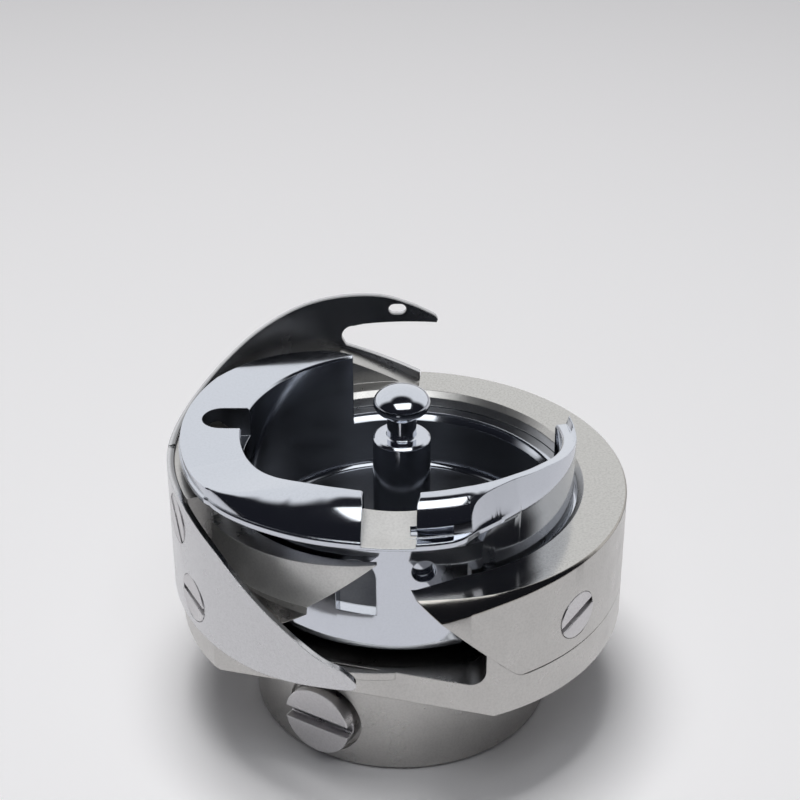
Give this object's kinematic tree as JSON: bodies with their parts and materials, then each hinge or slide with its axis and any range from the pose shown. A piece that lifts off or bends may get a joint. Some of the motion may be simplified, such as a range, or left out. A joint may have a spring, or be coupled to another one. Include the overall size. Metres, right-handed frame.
{
  "type": "rotary sewing hook",
  "caption": "Rotary hook of a lockstitch sewing machine, with its bobbin-case holder free to turn inside the drum.",
  "frame": {"origin": "centre of the shaft bore on the hub's end face", "axes": "+Z along the shaft axis towards the centre stud, -Y towards the needle opening, +X towards the gib"},
  "size_m": [0.0398, 0.0401, 0.0306],
  "materials": {
    "satin_steel": "satin nickel finish on steel",
    "guard_steel": "rolled steel plate, polished along its length",
    "screw_steel": "turned steel, lightly polished",
    "polished_steel": "bright polished plating",
    "felt": "undyed felt"
  },
  "bodies": {
    "hook": {"hook_body": "satin_steel", "gib": "satin_steel", "gib_screw_front": "screw_steel", "gib_screw_side": "screw_steel", "gib_screw_rear": "screw_steel", "thread_guard": "guard_steel", "guard_screw_upper": "screw_steel", "guard_screw_lower": "screw_steel", "set_screw_front": "screw_steel", "set_screw_rear": "screw_steel", "oil_plug": "screw_steel", "oil_wick": "felt"},
    "holder": {"bobbin_case_holder": "polished_steel", "centre_stud": "polished_steel"}
  },
  "joints": [
    {"name": "holder_spin", "type": "hinge", "parent": "hook", "child": "holder", "pos_m": [0, 0, 0], "axis": [0, 0, 1], "continuous": true}
  ]
}
